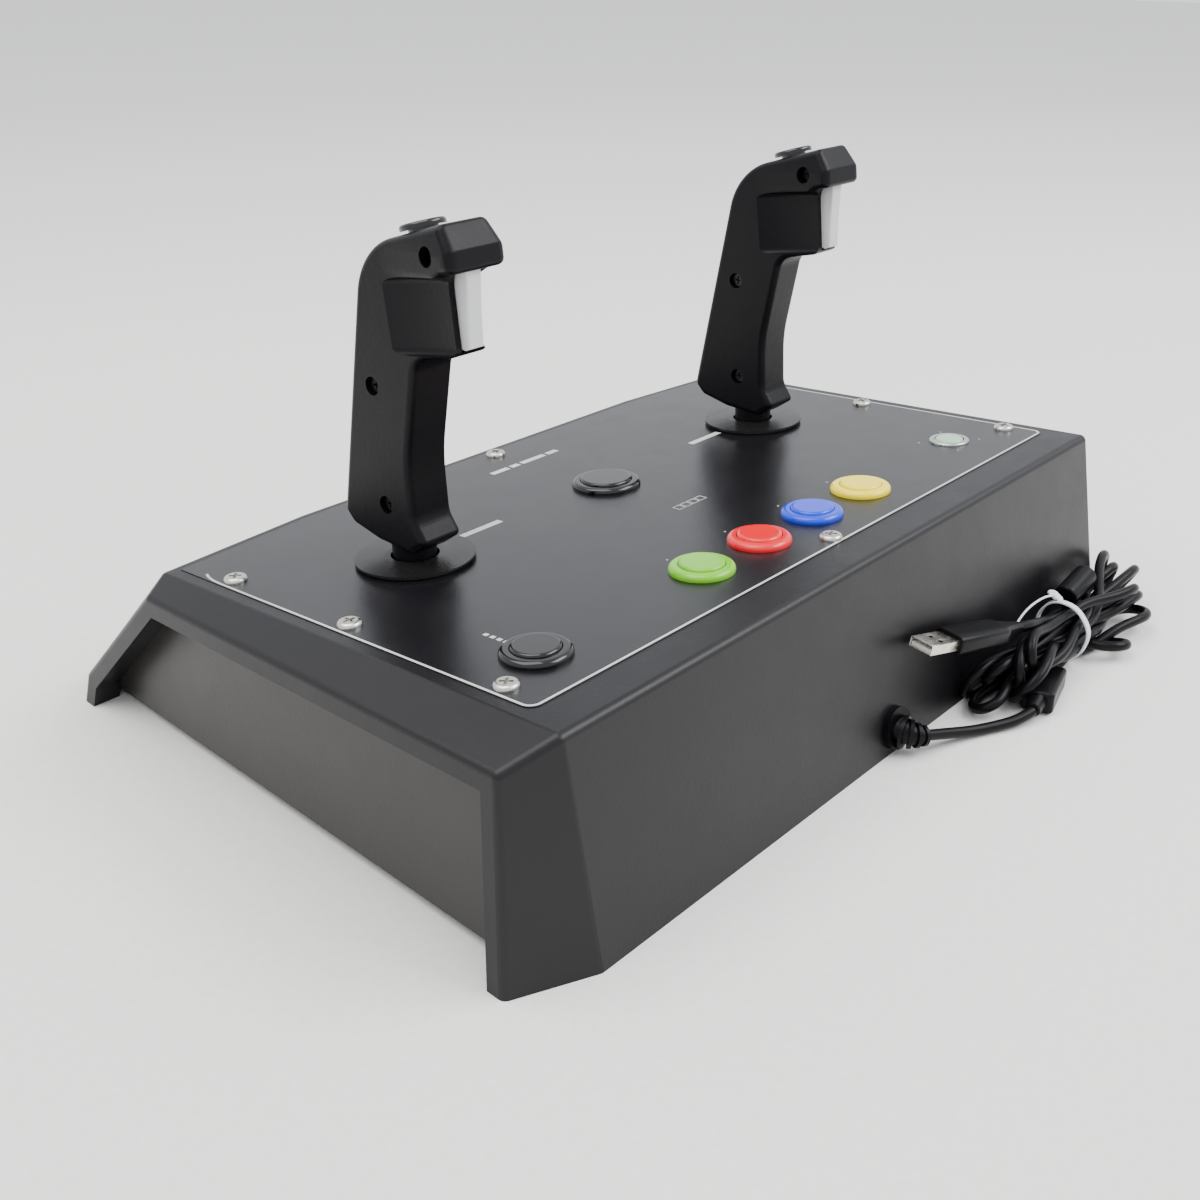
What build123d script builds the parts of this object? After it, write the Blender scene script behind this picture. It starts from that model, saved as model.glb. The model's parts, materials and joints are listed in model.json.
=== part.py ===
from build123d import *
import math
import os

# Twin-stick arcade control panel: a wedge-shaped housing with two flight-style
# sticks, six push buttons, a round guide button and a tied cable.
# Millimetres. +X is the player's right, +Y is to the rear, +Z is up.
# Shape data is given in a working frame with y = 0 at the top front edge;
# everything is moved by ORIGIN_Y on export, so the origin ends up under the
# middle of the housing, on the surface it stands on.

# ---------------------------------------------------------------- housing
TOP_SLOPE = 3.5            # tilt of the control face, degrees
FRONT_HEIGHT = 73.7        # height of the top front edge
TOP_LENGTH = 242.0         # control face, front to rear, along the slope
TOP_HALF_WIDTH = 195.3     # half width of the control face
FRONT_STRAIGHT = 116.0     # half length of the straight part of the front edge
FRONT_CORNER_SETBACK = 8.2
FRONT_BOTTOM_Y = -56.0     # foot of the front wall
REAR_BOTTOM_Y = 259.0      # foot of the rear wall
KNEE_HEIGHT = 14.0         # where the sloping front wall turns upright
WALL = 3.0
EDGE_RADIUS = 3.5

# The end rims lie in leaning planes: x = RIM_X + RIM_TAPER * y - RIM_LEAN * z
RIM_X = 217.4
RIM_TAPER = 0.045
RIM_LEAN = 0.136
RIM_OUTLINE = [(-43.0, 0.0), (-39.6, 14.0), (14.8, 69.1), (232.5, 79.4), (243.8, 0.0)]
RIM_LIP = 8.0              # width of the rim as seen from the end
PANEL_DEPTH = 13.0         # how far the end panels sit behind the rim
PANEL_THICK = 2.0
PANEL_BOTTOM = 4.5         # height of the end panels' lower edge

OVERLAY_THICK = 0.3
OVERLAY_HALF_WIDTH = 189.4
OVERLAY_REAR = 222.2
OVERLAY_FRONT = 1.5
PLATE_THICK = 2.0          # steel plate under the control face
FLOOR_PLATE_Z = 5.0
FLOOR_PLATE_THICK = 1.5
BOSS_RADIUS = 4.5

# ---------------------------------------------------------------- controls
# Positions on the control face: x, and v = distance up the slope from the front edge
BUTTON_PITCH = 40.0
BUTTON_ROW_V = 193.4
SMALL = dict(bezel=14.0, barrel=12.0, plunger=9.7)
LARGE = dict(bezel=16.6, barrel=14.9, plunger=12.4)
BUTTONS = {
    "green": (1.5 * BUTTON_PITCH, BUTTON_ROW_V, SMALL),
    "red": (0.5 * BUTTON_PITCH, BUTTON_ROW_V, SMALL),
    "blue": (-0.5 * BUTTON_PITCH, BUTTON_ROW_V, SMALL),
    "yellow": (-1.5 * BUTTON_PITCH, BUTTON_ROW_V, SMALL),
    "start": (157.5, BUTTON_ROW_V, SMALL),
    "centre": (2.0, 89.7, LARGE),
}
BEZEL_HEIGHT = 3.2
BARREL_DEPTH = 20.0
PLUNGER_PROUD = 4.4
BUTTON_GAP = 0.3
SWITCH_SIZE = (12.8, 6.4, 9.0)

GUIDE = (-148.5, 190.5)
GUIDE_RING_RADIUS = 10.0
GUIDE_LENS_RADIUS = 7.1

SCREW_X = 182.4
SIDE_SCREW_V = (42.4, 117.5, 203.2)
CENTRE_SCREW_V = (11.3, 216.4)
SCREW_HEAD_RADIUS = 5.0
SCREW_HEAD_HEIGHT = 2.2

# ---------------------------------------------------------------- sticks
STICK_X = 121.6
STICK_V = 86.8
PIVOT_DEPTH = 28.0         # stick pivots below the control face
SHAFT_RADIUS = 5.0
SHAFT_TOP = 62.0
SHAFT_BOTTOM = -43.0
PANEL_HOLE_RADIUS = 17.5
DISC_RADIUS = 25.8
DISC_BORE = 10.5
WASHER_RADIUS = 24.0
WASHER_BORE = 16.5
FIT = 0.05                 # running clearance of a pin in its hole
GRIP_HALF_WIDTH = 10.8
GRIP_WALL = 2.6
GRIP_EDGE = 3.0
NECK_RADIUS = 9.5
NECK_BOTTOM = -2.0
# Side outline of the grip: (y, z, corner radius) in the stick's own frame,
# whose origin is where the stick's axis meets the control face
GRIP_OUTLINE = [
    (-31.5, 20.0, 4.0), (-2.9, 133.1, 30.0), (47.1, 145.1, 2.0), (53.4, 135.9, 2.0),
    (54.0, 127.6, 2.0), (43.6, 126.4, 6.0), (45.3, 95.0, 3.0), (24.5, 91.5, 8.0),
    (13.8, 48.0, 70.0), (14.0, 22.5, 9.0), (19.8, 13.8, 2.0), (10.0, 7.6, 3.0),
    (-10.5, 9.8, 3.0), (-26.5, 14.2, 5.0),
]
GRIP_SCREWS = [(39.5, 133.0), (-3.0, 78.0), (-2.4, 27.5)]
GRIP_SCREW_HOLE = 3.9
# Finger scoop on each side, behind the trigger: a shallow round cut
SCOOP_RADIUS = 95.0
SCOOP_DEPTH = 4.0
SCOOP_Y = 48.0
SCOOP_HEIGHTS = (95.4, 125.6)
SCOOP_LIP = 3.0
TOP_NORMAL = 13.5          # tilt of the grip's top face, degrees
THUMB_SEAT = (25.0, 139.8)
THUMB_CAP_RADIUS = 9.2
THUMB_CAP_GAP = 1.0
THUMB_CAP_PROUD = 3.5
THUMB_STEM_RADIUS = 6.0
TRIGGER_PIN = (47.0, 129.8)
TRIGGER_HALF_WIDTH = 3.8
TRIGGER_OUTLINE = [
    (44.4, 132.4), (50.0, 132.4), (50.6, 124.5), (49.6, 112.0), (49.2, 98.0),
    (46.8, 97.2), (41.4, 98.4), (41.4, 122.5),
]
TRIGGER_SLOT = (40.5, 51.3, 96.2, 133.8)

# ---------------------------------------------------------------- cable
CABLE_RADIUS = 2.5
GLAND = (3.0, 256.8, 11.0)          # on the outside of the rear wall
REAR_LEAN = 11.16                   # the rear wall leans this far from upright, degrees
FLANGE_THICK = 3.2
BOOT_START = (3.0, 259.6, 10.8)
BOOT_BEND = 9.5                     # radius of the boot's bend, seen from above
BOOT_TURN = 70.0                    # degrees
BOOT_DROP = 2.3
LEAD_ROUTE = [
    (-3.25, 268.5, 8.5), (-15.5, 273.0, 5.8), (-29.0, 278.6, 3.2), (-41.5, 284.9, 3.0),
    (-51.0, 289.9, 3.9), (-58.7, 291.8, 5.5),
]
CONNECTOR_SIZE = (30.0, 15.0, 11.0)
CONNECTOR_CENTRE = (-81.0, 286.2, 6.0)
CONNECTOR_TURN = 14.0               # degrees
RELIEF_LENGTH = 8.0
# Sections of the tied hank: x, middle y, middle z, half width, half height
HANK_SECTIONS = [
    (-38.0, 268.5, 4.0, 8.0, 4.0), (-56.0, 270.5, 12.0, 12.5, 12.0),
    (-90.0, 268.5, 14.0, 10.5, 14.0), (-122.0, 274.5, 16.0, 11.5, 14.0),
    (-160.0, 278.0, 14.0, 19.0, 14.0), (-196.0, 277.5, 12.0, 20.0, 12.0),
    (-213.0, 271.0, 9.0, 12.5, 9.0),
]
TIE_SECTION = 3                     # the hank section that the tie goes round
TIE_WIDTH = 3.0
PLUG_TAIL = (-72.0, 269.5, 34.0)
PLUG_TIP = (-11.0, 258.0, 45.5)
PLUG_SHELL_LENGTH = 18.8
FERRITE_ENDS = ((-137.5, 267.0, 25.5), (-163.0, 265.8, 28.5))
FERRITE_RADIUS = 6.0

ORIGIN_Y = (FRONT_BOTTOM_Y + REAR_BOTTOM_Y) / 2
TAN = math.tan(math.radians(TOP_SLOPE))


def export(node, *solids):
    """Write one node, moved from the working frame to the origin."""
    shift = Pos(0, -ORIGIN_Y, 0)
    moved = [shift * s for solid in solids for s in solid.solids()]
    shape = moved[0] if len(moved) == 1 else Compound(children=moved)
    export_step(shape, f"parts/{node}.step")


def on_face(x, v, h=0.0):
    """Frame on the control face: z along its normal, y up the slope."""
    slope = math.radians(TOP_SLOPE)
    y = v * math.cos(slope)
    z = FRONT_HEIGHT + v * math.sin(slope)
    return Pos(x, y, z) * Rot(TOP_SLOPE, 0, 0) * Pos(0, 0, h)


def disc(radius, bottom, top, bore=0.0):
    """Upright cylinder between two heights, with an optional bore."""
    solid = Pos(0, 0, (bottom + top) / 2) * Cylinder(radius, top - bottom)
    if bore:
        solid -= Pos(0, 0, (bottom + top) / 2) * Cylinder(bore, top - bottom + 2)
    return solid


def block(x0, x1, y0, y1, z0, z1):
    """Box given by its limits."""
    centre = Pos((x0 + x1) / 2, (y0 + y1) / 2, (z0 + z1) / 2)
    return centre * Box(x1 - x0, y1 - y0, z1 - z0)


def spring(radius, wire, bottom, top, turns):
    """Coil spring standing on z = bottom."""
    height = top - bottom - 2 * wire
    path = Helix(pitch=height / turns, height=height, radius=radius)
    section = Plane(path @ 0, z_dir=path % 0) * Circle(wire)
    return Pos(0, 0, bottom + wire) * sweep(section, path=path)


# ------------------------------------------------------------ housing shell
def rim_x(y, z, depth=0.0):
    return RIM_X + RIM_TAPER * y - RIM_LEAN * z - depth


def inset(outline, distances):
    """Move each edge of a (y, z) outline inwards by its own distance."""
    lines = []
    count = len(outline)
    for i in range(count):
        (y0, z0), (y1, z1) = outline[i], outline[(i + 1) % count]
        length = math.hypot(y1 - y0, z1 - z0)
        ny, nz = (z1 - z0) / length, -(y1 - y0) / length
        lines.append((ny, nz, ny * y0 + nz * z0 + distances[i]))
    points = []
    for i in range(count):
        a0, b0, c0 = lines[i - 1]
        a1, b1, c1 = lines[i]
        det = a0 * b1 - a1 * b0
        points.append(((c0 * b1 - c1 * b0) / det, (a0 * c1 - a1 * c0) / det))
    return points


def middle_outline(setback):
    """Housing section away from the ends; setback moves its top front corner."""
    slope = math.radians(TOP_SLOPE)
    rear_y = TOP_LENGTH * math.cos(slope)
    rear_z = FRONT_HEIGHT + TOP_LENGTH * math.sin(slope)
    return [
        (FRONT_BOTTOM_Y, 0.0), (FRONT_BOTTOM_Y + 1.5, KNEE_HEIGHT),
        (setback, FRONT_HEIGHT + setback * TAN), (rear_y, rear_z), (REAR_BOTTOM_Y, 0.0),
    ]


def housing_loft(end, corner, middle, depth):
    """Solid through six sections, from one leaning end plane to the other."""
    wires = []
    for side in (-1, 1):
        half = [
            [(side * rim_x(y, z, depth), y, z) for y, z in end],
            [(side * TOP_HALF_WIDTH, y, z) for y, z in corner],
            [(side * FRONT_STRAIGHT, y, z) for y, z in middle],
        ]
        wires += half if side < 0 else half[::-1]
    return Solid.make_loft([Wire.make_polygon([Vector(*p) for p in w]) for w in wires], True)


def end_prism(outline, outer, inner, side):
    """Prism along X between two depths behind the rim plane."""
    wires = []
    for depth in (outer, inner):
        points = [Vector(side * rim_x(y, z, depth), y, z) for y, z in outline]
        wires.append(Wire.make_polygon(points))
    return Solid.make_loft(wires, True)


def housing_shell():
    corner = middle_outline(FRONT_CORNER_SETBACK)
    middle = middle_outline(0.0)
    outer = housing_loft(RIM_OUTLINE, corner, middle, 0.0)
    sharp = [e for e in outer.edges() if e.center().Z > 1.0 and abs(e.center().X) > 1.0]
    long_edges = [e for e in outer.edges() if abs(e.center().X) < 1.0 and e.center().Z > 20.0]
    seams = [e for e in sharp if abs(abs(e.center().X) - FRONT_STRAIGHT) < 1.0]
    rounded = [e for e in sharp if e not in seams] + long_edges
    outer = outer.fillet(EDGE_RADIUS, rounded)

    thin = [WALL, WALL, WALL, WALL, -6.0]
    deep = [WALL + 1.5, WALL + 1.5, WALL + 1.5, WALL + 1.5, -6.0]
    cavity = housing_loft(
        inset(RIM_OUTLINE, deep), inset(corner, thin), inset(middle, thin), PANEL_DEPTH)
    shell = outer - cavity
    lip = [RIM_LIP, RIM_LIP, RIM_LIP, RIM_LIP, -6.0]
    for side in (-1, 1):
        shell -= end_prism(inset(RIM_OUTLINE, lip), -4.0, PANEL_DEPTH + 3.0, side)
    return shell


def add_bosses(shell):
    """Screw posts that run from the top wall down to the floor plate."""
    for x in (-160.0, 0.0, 160.0):
        for y in (20.0, 236.0):
            top = FRONT_HEIGHT + y * TAN - 1.0
            shell += Pos(x, y, 0) * disc(BOSS_RADIUS, FLOOR_PLATE_Z + FLOOR_PLATE_THICK, top)
    return shell




def top_holes():
    """Cutters for everything that passes through the control face."""
    cutters = []
    for x, v, size in BUTTONS.values():
        cutters.append(on_face(x, v) * disc(size["barrel"] + 0.1, -8.0, 2.0))
    for side in (-1, 1):
        cutters.append(on_face(side * STICK_X, STICK_V) * disc(PANEL_HOLE_RADIUS, -8.0, 2.0))
    cutters.append(on_face(*GUIDE) * disc(GUIDE_RING_RADIUS - 1.4, -8.0, 2.0))
    for x, v in screw_places():
        cutters.append(on_face(x, v) * disc(2.1, -8.0, 2.0))
    return cutters


def screw_places():
    sides = [(side * SCREW_X, v) for side in (-1, 1) for v in SIDE_SCREW_V]
    return sides + [(0.0, v) for v in CENTRE_SCREW_V]


def top_overlay():
    """Printed film that lies on the control face."""
    front = OVERLAY_FRONT + 3.0
    corner = front + FRONT_CORNER_SETBACK * 0.93
    outline = Polyline(
        (-OVERLAY_HALF_WIDTH, corner), (-FRONT_STRAIGHT, front), (FRONT_STRAIGHT, front),
        (OVERLAY_HALF_WIDTH, corner), (OVERLAY_HALF_WIDTH, OVERLAY_REAR),
        (-OVERLAY_HALF_WIDTH, OVERLAY_REAR), close=True)
    film = extrude(make_face(outline), OVERLAY_THICK)
    upright = [e for e in film.edges().filter_by(Axis.Z) if e.center().Y > OVERLAY_REAR - 1]
    return on_face(0, 0) * fillet(upright, 5.0)


def mounting_plate():
    top = -WALL
    return on_face(0, 0) * block(-187.0, 187.0, 27.0, 229.0, top - PLATE_THICK, top)


def floor_plate():
    z = FLOOR_PLATE_Z
    plate = block(-195.0, 195.0, -49.5, 249.0, z, z + FLOOR_PLATE_THICK)
    for x, y in floor_screw_places():
        plate -= Pos(x, y, z) * Cylinder(1.6, 10)
    return plate


def floor_screw_places():
    return [(x, y) for x in (-160.0, 0.0, 160.0) for y in (20.0, 236.0)]


def end_panel(side):
    """Plate that closes one end, behind the rim."""
    outline = inset(RIM_OUTLINE, [5.5, 5.5, 5.5, 5.5, PANEL_BOTTOM])
    return end_prism(outline, PANEL_DEPTH, PANEL_DEPTH + PANEL_THICK, side)


def rubber_feet():
    feet = []
    for x in (-175.0, 175.0):
        for y in (-30.0, 225.0):
            feet.append(Pos(x, y, 0) * disc(9.0, 0.0, FLOOR_PLATE_Z))
    return feet


def cross_recess(size, top, depth):
    """Cutter for a cross-head screw, opening at z = top."""
    arm = block(-size, size, -size / 4, size / 4, top - depth, top + 1)
    return arm + Rot(0, 0, 90) * arm


def panel_screws():
    head = disc(SCREW_HEAD_RADIUS, OVERLAY_THICK, OVERLAY_THICK + SCREW_HEAD_HEIGHT)
    rim = head.edges().filter_by(GeomType.CIRCLE).sort_by(Axis.Z)[-1]
    head = fillet(rim, SCREW_HEAD_HEIGHT * 0.75)
    screw = head + disc(1.95, -10.0, OVERLAY_THICK + 0.1)
    screw -= cross_recess(2.6, OVERLAY_THICK + SCREW_HEAD_HEIGHT, 1.5)
    return [on_face(x, v) * Rot(0, 0, 15 + 40 * i) * screw
            for i, (x, v) in enumerate(screw_places())]


def floor_screws():
    top = FLOOR_PLATE_Z
    screw = disc(3.0, top - 1.8, top) + disc(1.5, top - 0.1, top + 9.0)
    return [Pos(x, y, 0) * screw for x, y in floor_screw_places()]


# ------------------------------------------------------------ push buttons
def button_body(size):
    flange = disc(size["bezel"], OVERLAY_THICK, BEZEL_HEIGHT)
    rim = flange.edges().filter_by(GeomType.CIRCLE).sort_by(Axis.Z)[-1]
    flange = fillet(rim, 2.2)
    body = flange + disc(size["barrel"], -BARREL_DEPTH, OVERLAY_THICK + 0.1)
    body -= disc(size["plunger"] + BUTTON_GAP, 3.5 - BARREL_DEPTH, BEZEL_HEIGHT + 1)
    return body - disc(2.8, -BARREL_DEPTH - 1, 0.0)


def button_plunger(size):
    cap = disc(size["plunger"], -9.0, PLUNGER_PROUD)
    rim = cap.edges().filter_by(GeomType.CIRCLE).sort_by(Axis.Z)[-1]
    cap = fillet(rim, 1.3)
    return cap - disc(size["plunger"] - 1.5, -10.0, 1.8) + disc(2.4, -17.0, 2.0)


def button_spring(size):
    return spring(size["plunger"] * 0.55, 0.4, 3.5 - BARREL_DEPTH, -1.2, 5)


def button_nut(size):
    top = -WALL - PLATE_THICK
    nut = extrude(RegularPolygon(size["barrel"] + 4.0, 6), 4.0)
    return Pos(0, 0, top - 4.0) * nut - disc(size["barrel"] + 0.1, top - 5.0, top + 1.0)


def microswitch():
    """Snap-action switch standing on z = 0, with its actuator and terminals."""
    length, width, height = SWITCH_SIZE
    case = block(-length / 2, length / 2, -width / 2, width / 2, 0.0, height)
    actuator = block(-1.0, 1.0, -1.2, 1.2, height - 0.5, height + 0.6)
    return case + actuator


def guide_ring():
    outer = disc(GUIDE_RING_RADIUS, OVERLAY_THICK, OVERLAY_THICK + 1.3)
    rim = outer.edges().filter_by(GeomType.CIRCLE).sort_by(Axis.Z)[-1]
    ring = fillet(rim, 0.8) + disc(GUIDE_RING_RADIUS - 1.5, -8.0, OVERLAY_THICK + 0.1)
    return on_face(*GUIDE) * (ring - disc(GUIDE_LENS_RADIUS + 0.3, -9.0, 3.0))


def guide_lens():
    lens = disc(GUIDE_LENS_RADIUS, -6.0, 2.2)
    rim = lens.edges().filter_by(GeomType.CIRCLE).sort_by(Axis.Z)[-1]
    return on_face(*GUIDE) * fillet(rim, 1.6)


def circuit_board():
    floor = FLOOR_PLATE_Z + FLOOR_PLATE_THICK
    board = block(-60.0, 60.0, 170.0, 222.0, 14.0, 15.6)
    for x in (-54.0, 54.0):
        for y in (176.0, 216.0):
            board += Pos(x, y, 0) * disc(3.0, floor, 14.5)
    board += block(-10.0, 10.0, 186.0, 206.0, 15.0, 17.4)
    return board + block(-50.0, 50.0, 171.0, 177.0, 15.0, 21.0)


# ------------------------------------------------------------------ sticks
# Every piece of a stick is made in the stick's own frame, with z = 0 on the
# control face, and the pivot at z = -PIVOT_DEPTH
def along_x(radius, x0, x1, y, z):
    return Pos((x0 + x1) / 2, y, z) * Rot(0, 90, 0) * Cylinder(radius, x1 - x0)


def along_y(radius, y0, y1, x, z):
    return Pos(x, (y0 + y1) / 2, z) * Rot(90, 0, 0) * Cylinder(radius, y1 - y0)


def stick_base():
    """Open-topped box that hangs under the steel plate and carries the yoke."""
    top = -WALL - PLATE_THICK
    base = block(-30, 30, -30, 30, -47.0, top) - block(-27, 27, -27, 27, -45.0, top + 1)
    base += block(-36, 36, -30, 30, top - 2.5, top) - block(-27, 27, -27, 27, top - 3, top + 1)
    return base - along_x(3.0 + FIT, -31, 31, 0, -PIVOT_DEPTH)


def stick_yoke():
    """Square ring on two trunnions: the first axis of the gimbal."""
    z = -PIVOT_DEPTH
    ring = block(-20, 20, -20, 20, z - 4.5, z + 4.5) - block(-13, 13, -13, 13, z - 5, z + 5)
    for side in (-1, 1):
        ends = sorted((side * 19.0, side * 29.5))
        ring += along_x(3.0, *ends, 0, z)
    return ring - along_y(2.5 + FIT, -21, 21, 0, z)


def stick_shaft():
    """Steel shaft with its hub, cross pins and lower collar."""
    z = -PIVOT_DEPTH
    shaft = disc(SHAFT_RADIUS, SHAFT_BOTTOM, SHAFT_TOP)
    shaft += block(-8, 8, -8, 8, z - 4.5, z + 4.5)
    shaft += along_y(2.5, -19.5, 19.5, 0, z)
    shaft += disc(6.5, SHAFT_BOTTOM, SHAFT_BOTTOM + 3.0)
    return shaft - along_x(1.3, -8, 8, *GRIP_SCREWS[-1])


def stick_spring():
    return spring(6.9, 0.8, SHAFT_BOTTOM + 3.0, -PIVOT_DEPTH - 4.5, 2.5)


def stick_switches():
    """Four switches on the floor of the base, round the shaft's lower end."""
    distance = 10.8 + SWITCH_SIZE[1] / 2
    return [Rot(0, 0, 90 * i) * Pos(0, distance, -45.0) * microswitch() for i in range(4)]


def dust_washer():
    return disc(WASHER_RADIUS, 0.5, 1.3, WASHER_BORE)


def dust_disc():
    profile = Polyline(
        (DISC_BORE, 1.6), (DISC_RADIUS, 1.6), (DISC_RADIUS, 2.5), (13.0, 3.1),
        (DISC_BORE, 3.1), close=True)
    return revolve(Plane.XZ * make_face(profile), Axis.Z)


def grip_outline():
    points = [(y, z) for y, z, _ in GRIP_OUTLINE]
    radii = [r for _, _, r in GRIP_OUTLINE]
    return make_face(FilletPolyline(*points, radius=radii, close=True))


def finger_scoop(side, extra=0.0):
    """Cutter for the scoop on one side, grown by an extra thickness."""
    low, high = SCOOP_HEIGHTS
    radius = SCOOP_RADIUS + extra
    cutter = disc(radius, low - extra, high + extra)
    cutter = fillet(cutter.edges().filter_by(GeomType.CIRCLE), SCOOP_LIP)
    centre = GRIP_HALF_WIDTH - SCOOP_DEPTH + SCOOP_RADIUS
    return Pos(side * centre, SCOOP_Y, 0) * Rot(5, 0, 0) * cutter


def grip_body():
    """Both halves of the grip in one piece, with every cut except the parting."""
    face = grip_outline()
    body = extrude(Plane.YZ * face, GRIP_HALF_WIDTH, both=True)
    long_edges = [e for e in body.edges() if abs(abs(e.center().X) - GRIP_HALF_WIDTH) < 0.1]
    body = fillet(long_edges, GRIP_EDGE)
    body += disc(NECK_RADIUS, NECK_BOTTOM, 14.0)
    for side in (-1, 1):
        body -= finger_scoop(side)

    inner = GRIP_HALF_WIDTH - GRIP_WALL
    hollow = inset([(y, z) for y, z, _ in GRIP_OUTLINE], [GRIP_WALL] * len(GRIP_OUTLINE))
    cavity = extrude(Plane.YZ * make_face(Polyline(*hollow, close=True)), inner, both=True)
    cavity -= block(-20, 20, -14, 14, -5, 16)
    for side in (-1, 1):
        cavity -= finger_scoop(side, 1.8)
    body -= cavity
    for y, z in GRIP_SCREWS:
        body += along_x(5.4, -inner - 0.2, inner + 0.2, y, z)
        body -= along_x(1.3, -8.0, 12.0, y, z)
        body -= along_x(GRIP_SCREW_HOLE, 6.0, 12.0, y, z)
    body -= disc(SHAFT_RADIUS + FIT, NECK_BOTTOM - 1, SHAFT_TOP + FIT)
    body -= along_x(1.5, -inner, inner, *TRIGGER_PIN)
    half = TRIGGER_HALF_WIDTH + 0.4
    body -= block(-half, half, *TRIGGER_SLOT)
    return body - thumb_frame() * disc(THUMB_STEM_RADIUS + BUTTON_GAP, -9.0, 4.0)


def thumb_frame():
    return Pos(0, *THUMB_SEAT) * Rot(TOP_NORMAL, 0, 0)


def grip_screws():
    screws = []
    for y, z in GRIP_SCREWS:
        head = along_x(3.2, 6.0, 8.4, y, z)
        head -= Pos(8.4, y, z) * Rot(0, 90, 0) * cross_recess(1.8, 0.0, 1.2)
        screws.append(head + along_x(1.25, -7.0, 6.1, y, z))
    return screws


def trigger():
    face = make_face(Polyline(*TRIGGER_OUTLINE, close=True))
    blade = extrude(Plane.YZ * face, TRIGGER_HALF_WIDTH, both=True)
    front = [e for e in blade.edges() if e.center().Y > 48.5 and e.center().Z < 125
             and abs(abs(e.center().X) - TRIGGER_HALF_WIDTH) < 0.1]
    blade = fillet(front, 0.8)
    return blade - along_x(1.5 + FIT, -6, 6, *TRIGGER_PIN)


def trigger_pin():
    end = GRIP_HALF_WIDTH - GRIP_WALL
    return along_x(1.5, -end, end, *TRIGGER_PIN)


def thumb_button():
    cap = disc(THUMB_CAP_RADIUS, THUMB_CAP_GAP, THUMB_CAP_PROUD)
    rims = cap.edges().filter_by(GeomType.CIRCLE).sort_by(Axis.Z)
    cap = fillet(rims[-1], 1.4)
    return thumb_frame() * (cap + disc(THUMB_STEM_RADIUS, -8.0, THUMB_CAP_GAP + 0.3))


def grip_switches():
    """The two small switches inside a grip: behind the trigger and under the thumb."""
    behind_trigger = Pos(0, 24.0, 105.0) * Rot(-90, 0, 0) * Rot(0, 0, 90) * microswitch()
    under_thumb = thumb_frame() * Pos(0, -3, -20.5) * Rot(0, 0, 90) * microswitch()
    return [behind_trigger, under_thumb]


# ------------------------------------------------------------------- cable
def boot_frame(turn):
    """Frame along the boot's bend, z along the cable."""
    a = math.radians(turn)
    x, y, z = BOOT_START
    point = (x - BOOT_BEND * (1 - math.cos(a)), y + BOOT_BEND * math.sin(a),
             z - BOOT_DROP * turn / BOOT_TURN)
    return Plane(origin=point, z_dir=(-math.sin(a), math.cos(a), -0.2 * turn / BOOT_TURN))


def cable_gland():
    """Flange square to the rear wall, a collar inside it, and a bent ribbed boot."""
    plug = disc(9.5, 0.1, FLANGE_THICK)
    plug += disc(5.0, -WALL - 1.0, 0.1) + disc(7.0, -WALL - 2.8, -WALL - 0.8)
    plug = Pos(*GLAND) * Rot(REAR_LEAN - 90, 0, 0) * plug
    rings = []
    for i in range(8):
        turn = BOOT_TURN * i / 7
        rings.append((boot_frame(turn) * Circle(5.6 - 2.0 * i / 7)).wire())
    boot = Solid.make_loft(rings, True)
    for i in range(4):
        turn = BOOT_TURN * (0.2 + 0.24 * i)
        boot += boot_frame(turn).location * disc(7.4 - 0.9 * i, -0.8, 0.8)
    return plug + boot


def arc_radii(points):
    """Radius of each arc: 0.45 of the shorter run over the tangent of half the turn."""
    radii = []
    for a, b, c in zip(points, points[1:], points[2:]):
        before = Vector(*b) - Vector(*a)
        after = Vector(*c) - Vector(*b)
        turn = math.radians(before.get_angle(after))
        radii.append(0.45 * min(before.length, after.length) / math.tan(turn / 2))
    return radii


def cable_lead():
    radii = arc_radii(LEAD_ROUTE)
    path = FilletPolyline(*LEAD_ROUTE, radius=radii)
    tube = sweep(Plane(path @ 0, z_dir=path % 0) * Circle(CABLE_RADIUS), path=path)
    section = math.pi * CABLE_RADIUS ** 2
    print("lead radii", [round(r, 1) for r in radii], "length", round(path.length, 1),
          "volume ratio", round(tube.volume / (section * path.length), 4))
    return tube


def cable_connector():
    length, width, height = CONNECTOR_SIZE
    frame = Pos(*CONNECTOR_CENTRE) * Rot(0, 0, CONNECTOR_TURN)
    body = fillet(Box(length, width, height).edges(), 2.0)
    relief = Rot(0, 90, 0) * Cone(4.8, 3.4, RELIEF_LENGTH + 1)
    return frame * (body + Pos((length + RELIEF_LENGTH - 1) / 2, 0, 0) * relief)


def cable_hank():
    wires = []
    for x, y, z, half_width, half_height in HANK_SECTIONS:
        plane = Plane(origin=(x, y, z), x_dir=(0, 1, 0), z_dir=(1, 0, 0))
        wires.append((plane * Ellipse(half_width, half_height)).wire())
    return Solid.make_loft(wires[::-1], True)


def cable_tie():
    x, y, z, half_width, half_height = HANK_SECTIONS[TIE_SECTION]
    plane = Plane(origin=(x - TIE_WIDTH / 2, y, z), x_dir=(0, 1, 0), z_dir=(1, 0, 0))
    band = Ellipse(half_width + 2.0, half_height + 2.0) - Ellipse(half_width + 0.8, half_height + 0.8)
    return extrude(plane * band, TIE_WIDTH)


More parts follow.
